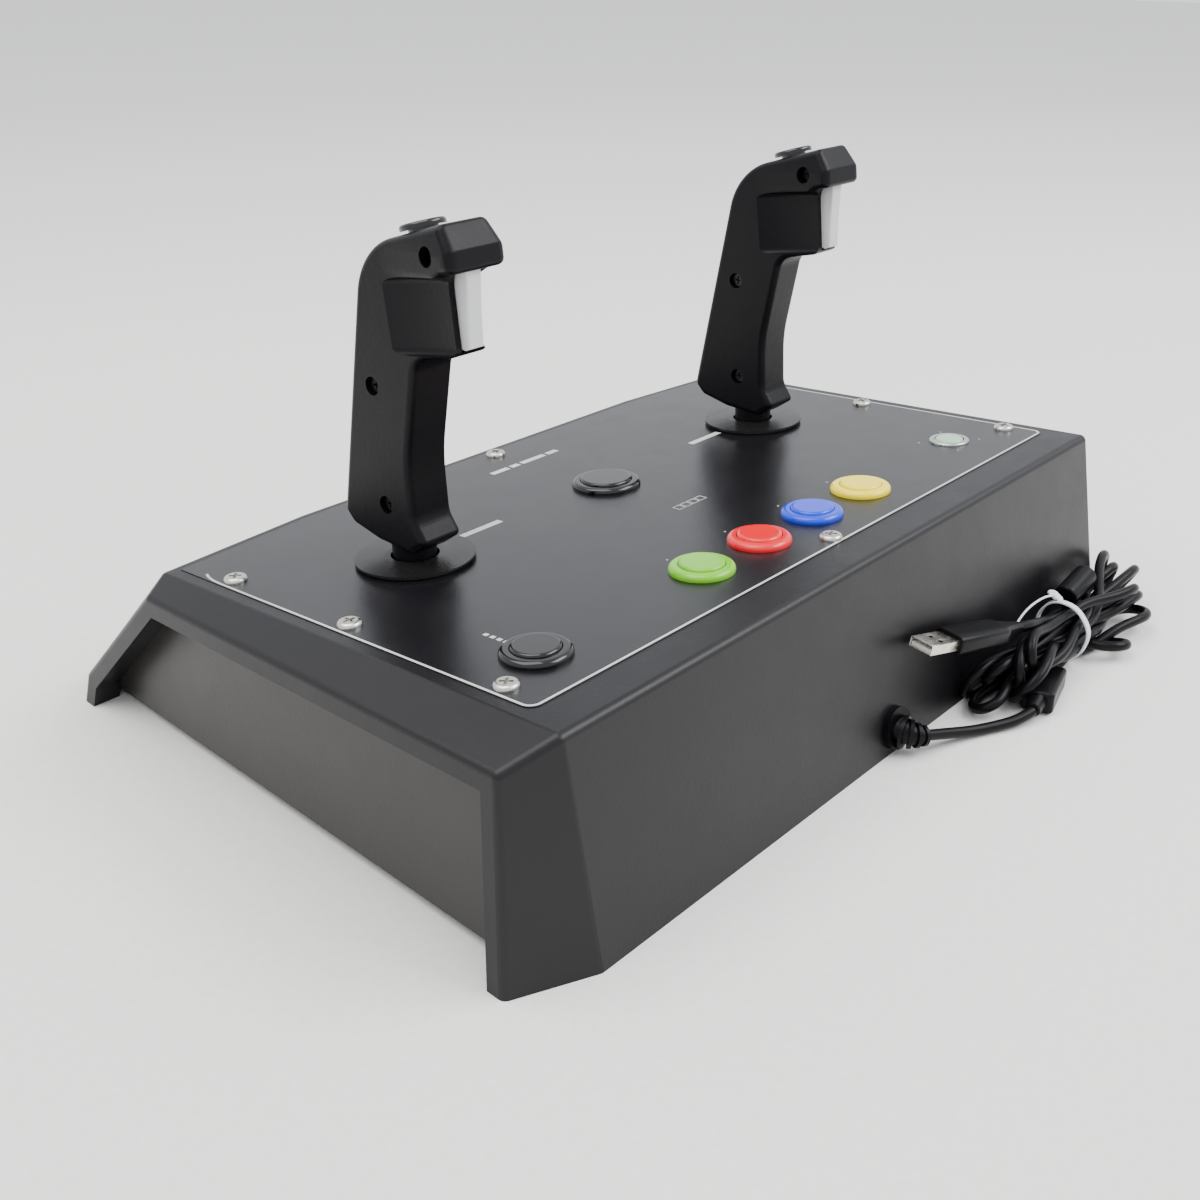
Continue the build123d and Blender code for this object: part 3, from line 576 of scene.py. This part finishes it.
def keep_clear(points, free):
    """Holds the strands in the tie, above the floor and off the wall and the other pieces."""
    points = points.copy()
    moving = free[:, 0] > 0
    off = (points[:, 1:] - np.array(TIE_MIDDLE)[1:]) / TIE_HALF
    reach = np.maximum(np.linalg.norm(off, axis=1), 1e-6)
    tied = (abs(points[:, 0] - TIE_MIDDLE[0]) < 5) & (reach > 1) & moving
    points[tied, 1:] = (np.array(TIE_MIDDLE)[1:] + off / reach[:, None] * TIE_HALF)[tied]
    taper = np.clip((-points[:, 0] - 195) / 33, 0, 1) * 15.2
    wall = 157.5 - 0.197 * points[:, 2] - taper + 2.9
    points[moving, 2] = np.maximum(points[moving, 2], 2.6)
    points[moving, 1] = np.maximum(points[moving, 1], wall[moving])
    for first, last, keep in OBSTACLES:
        first = np.array(first, float)
        axis = np.array(last) - first
        t = np.clip((points - first) @ axis / axis.dot(axis), 0, 1)
        nearest = first + t[:, None] * axis
        out = points - nearest
        distance = np.linalg.norm(out, axis=1)
        hit = (distance < keep) & moving
        points[hit] = nearest[hit] + out[hit] / distance[hit][:, None] * keep
    return points


def settled_hank():
    """The rough route, relaxed until its strands lie beside each other."""
    points = even_points(hank_route(), SAMPLE_STEP)
    count = len(points)
    rest = np.linalg.norm(np.diff(points, axis=0), axis=1).mean()
    order = np.arange(count)
    apart = abs(order[:, None] - order[None, :]) > math.ceil(14 / rest)
    free = np.ones((count, 1))
    free[:3] = 0
    free[-4:] = 0
    for _ in range(RELAX_STEPS):
        points = push_strands_apart(points, apart, free)
        points = stiffen(points, free)
        points = keep_length(points, rest, free)
        points = keep_clear(points, free)
    return points * MM


def rounded_bar(name, place, half_x, half_y, low, high, bevel, segments=4):
    """Box from low to high along z, with rounded edges."""
    bm = bmesh.new()
    bmesh.ops.create_cube(bm, size=1.0)
    middle = Matrix.Translation((0, 0, (low + high) / 2))
    size = Matrix.Diagonal((2 * half_x, 2 * half_y, high - low, 1))
    bmesh.ops.transform(bm, matrix=middle @ size, verts=bm.verts)
    bmesh.ops.bevel(bm, geom=bm.edges[:], offset=bevel, segments=segments, profile=0.5,
                    affect="EDGES")
    return from_bmesh(name, bm, place, 40)


def section_loft(name, place, sections, corner=0.45, steps=48):
    """Closed body through rounded-rectangle sections (height, half width, half depth)."""
    verts, faces = [], []
    power = 2 / corner
    for height, half_x, half_y in sections:
        for i in range(steps):
            a = 2 * math.pi * i / steps
            c, s = math.cos(a), math.sin(a)
            r = (abs(c) ** power + abs(s) ** power) ** (-1 / power)
            verts.append(place @ Vector((half_x * r * c, half_y * r * s, height)))
    for k in range(len(sections) - 1):
        for i in range(steps):
            j = (i + 1) % steps
            faces.append((k * steps + i, k * steps + j, (k + 1) * steps + j, (k + 1) * steps + i))
    faces.append(tuple(reversed(range(steps))))
    faces.append(tuple(range((len(sections) - 1) * steps, len(sections) * steps)))
    piece = mesh_object(name, verts, faces)
    shade(piece, 40)
    return piece


def plug_frame():
    """z from the plug's tail to its tip, x across its wide side."""
    axis = (PLUG_TIP - PLUG_TAIL).normalized()
    wide = Vector((0.29, 0.94, 0.0))
    wide = (wide - axis * wide.dot(axis)).normalized()
    turn = Matrix((wide, axis.cross(wide), axis)).transposed().to_4x4()
    return Matrix.Translation(PLUG_TAIL) @ turn


def add_plug():
    place = plug_frame()
    length = (PLUG_TIP - PLUG_TAIL).length
    split = length - PLUG_SHELL_LENGTH
    mould = section_loft("plug_mould", place, [
        (-7 * MM, 2.7 * MM, 2.7 * MM), (-4 * MM, 3.0 * MM, 2.9 * MM), (0, 3.5 * MM, 3.2 * MM),
        (6 * MM, 5.2 * MM, 3.7 * MM), (9 * MM, 7.2 * MM, 4.1 * MM), (11 * MM, 7.7 * MM, 4.2 * MM),
        (split - 1.2 * MM, 7.9 * MM, 4.3 * MM), (split - 0.3 * MM, 7.6 * MM, 4.0 * MM),
        (split, 7.0 * MM, 3.4 * MM)])
    paint(mould, "cable_rubber")
    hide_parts("usb_plug")
    shell = plug_shell(place, split, length)
    tongue = rounded_bar("plug_tongue", place @ Matrix.Translation((0, -0.95 * MM, 0)),
                         5.5 * MM, 0.9 * MM, split + MM, length - 0.8 * MM, 0.15 * MM, 2)
    paint(shell, "plug_shell")
    paint(tongue, "plug_insert")
    for piece in (shell, tongue):
        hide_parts("usb_plug")
    for piece in (mould, shell, tongue):
        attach(piece, "root")
    return [mould, shell, tongue]


def plug_shell(place, low, high):
    """Folded steel shell: an open box with two square windows in each wide face."""
    bm = bmesh.new()
    half_x, half_y, thick = 6.0 * MM, 2.25 * MM, 0.3 * MM
    columns = [-half_x, -3.9 * MM, -1.5 * MM, 1.5 * MM, 3.9 * MM, half_x]
    rows = [low, low + 8.2 * MM, low + 10.8 * MM, high]
    for side in (-1, 1):
        grid = [[bm.verts.new((x, side * half_y, z)) for x in columns] for z in rows]
        for r in range(3):
            for c in range(5):
                if r == 1 and c in (1, 3):
                    continue
                bm.faces.new((grid[r][c], grid[r][c + 1], grid[r + 1][c + 1], grid[r + 1][c]))
    for x in (-half_x, half_x):
        wall = [[bm.verts.new((x, y, z)) for y in (-half_y, half_y)] for z in rows]
        for r in range(3):
            bm.faces.new((wall[r][0], wall[r][1], wall[r + 1][1], wall[r + 1][0]))
    bmesh.ops.remove_doubles(bm, verts=bm.verts, dist=1e-6)
    bmesh.ops.recalc_face_normals(bm, faces=bm.faces)
    shell = from_bmesh("plug_shell", bm, place, 40)
    solid = shell.modifiers.new("thickness", "SOLIDIFY")
    solid.thickness = thick
    solid.offset = -1
    rounding = shell.modifiers.new("edges", "BEVEL")
    rounding.width = 0.12 * MM
    rounding.segments = 2
    return shell


def add_tie():
    """Flat white tie: a band round the bundle, a twisted knot and a thin tail."""
    verts, faces = [], []
    steps, half_width = 72, 1.55 * MM
    for i in range(steps):
        a = 2 * math.pi * i / steps
        wave = 0.35 * MM * math.sin(3 * a + 0.6) + 0.15 * MM * math.sin(7 * a)
        lean = 1.1 * MM * math.sin(a + 0.4)
        for reach, sign in ((0.9, -1), (0.9, 1), (1.9, 1), (1.9, -1)):
            y = (11.6 * MM + reach * MM + wave) * math.cos(a)
            z = (13.9 * MM + reach * MM + wave * 0.5) * math.sin(a)
            verts.append(TIE_CENTRE + Vector((sign * half_width + lean, y, max(z, -TIE_CENTRE.z + 0.0003))))
    for i in range(steps):
        j = (i + 1) % steps
        for k in range(4):
            m = (k + 1) % 4
            faces.append((4 * i + k, 4 * i + m, 4 * j + m, 4 * j + k))
    band = mesh_object("tie_band", verts, faces)
    knot = tie_knot()
    tail = tie_tail()
    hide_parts("cable_tie")
    for piece in (band, knot, tail):
        paint(piece, "tie_white")
        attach(piece, "root")
    return [band, knot, tail]


def tie_knot():
    """Three turns of the two ends, twisted on top of the bundle."""
    points = []
    for i in range(34):
        a = 2 * math.pi * i / 11
        rise = i / 33 * 6.5 * MM
        points.append(TIE_CENTRE + Vector((
            1.3 * MM * math.cos(a), -4.0 * MM + 1.3 * MM * math.sin(a) - rise * 0.6,
            15.4 * MM + rise * 0.4)))
    return curve_object("tie_knot", points, 1.05 * MM, resolution=4)


def tie_tail():
    """Thin end of the tie, arched towards the plug."""
    route = [(-0.1225, 0.1680, 0.0325), (-0.1195, 0.1655, 0.0335), (-0.1120, 0.1640, 0.0335),
             (-0.1030, 0.1635, 0.0330), (-0.0960, 0.1632, 0.0310), (-0.0915, 0.1632, 0.0285)]
    tail = curve_object("tie_tail", route, 0.55 * MM, resolution=8)
    tail.data.bevel_resolution = 3
    return tail


def add_hank(with_pieces):
    points = settled_hank()
    hank = curve_object("hank_cable", points, CABLE_RADIUS, resolution=3)
    hank.data.bevel_resolution = 4
    paint(hank, "cable_rubber")
    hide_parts("cable_hank")
    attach(hank, "root")


# ------------------------------------------------------------------- studio
def make_light(name, place, target, size, power, colour=(1, 1, 1)):
    data = bpy.data.lights.new(name, "AREA")
    data.shape = "RECTANGLE"
    data.size, data.size_y = size
    data.energy = power
    data.color = colour
    light = bpy.data.objects.new(name, data)
    bpy.context.scene.collection.objects.link(light)
    aim = (Vector(place) - Vector(target)).to_track_quat("Z", "Y").to_matrix().to_4x4()
    light.matrix_world = Matrix.Translation(place) @ aim


def make_studio():
    bm = bmesh.new()
    bmesh.ops.create_grid(bm, x_segments=2, y_segments=2, size=6.0)
    floor = from_bmesh("studio_floor", bm, Matrix.Translation((0, 0, 0)))
    made, nodes, links, shader = material("studio_floor")
    clouds = noise(nodes, links, 240, 3.0, 0.6)
    links.new(blend_colours(nodes, links, clouds, (0.80, 0.785, 0.755), (0.84, 0.825, 0.795)),
              shader.inputs["Base Color"])
    shader.inputs["Roughness"].default_value = 0.75
    floor.data.materials.append(made)
    world = bpy.data.worlds.new("studio")
    bpy.context.scene.world = world
    world.use_nodes = True
    background = world.node_tree.nodes["Background"]
    background.inputs["Color"].default_value = (0.93, 0.96, 1.0, 1)
    background.inputs["Strength"].default_value = 1.35
    make_light("window", (-0.9, 1.1, 1.5), (0, 0, 0), (1.6, 1.0), 40, (0.97, 0.98, 1.0))
    make_light("overhead", (0.5, -0.3, 1.6), (0, 0, 0.03), (1.4, 1.4), 26, (1.0, 0.985, 0.955))


# --------------------------------------------------------------------- main
MATERIALS = make_materials()
make_camera()
paint_cad_nodes()
add_flared_grips()
add_lead()
add_hank(add_plug() + add_tie())
printed_marks()
make_studio()
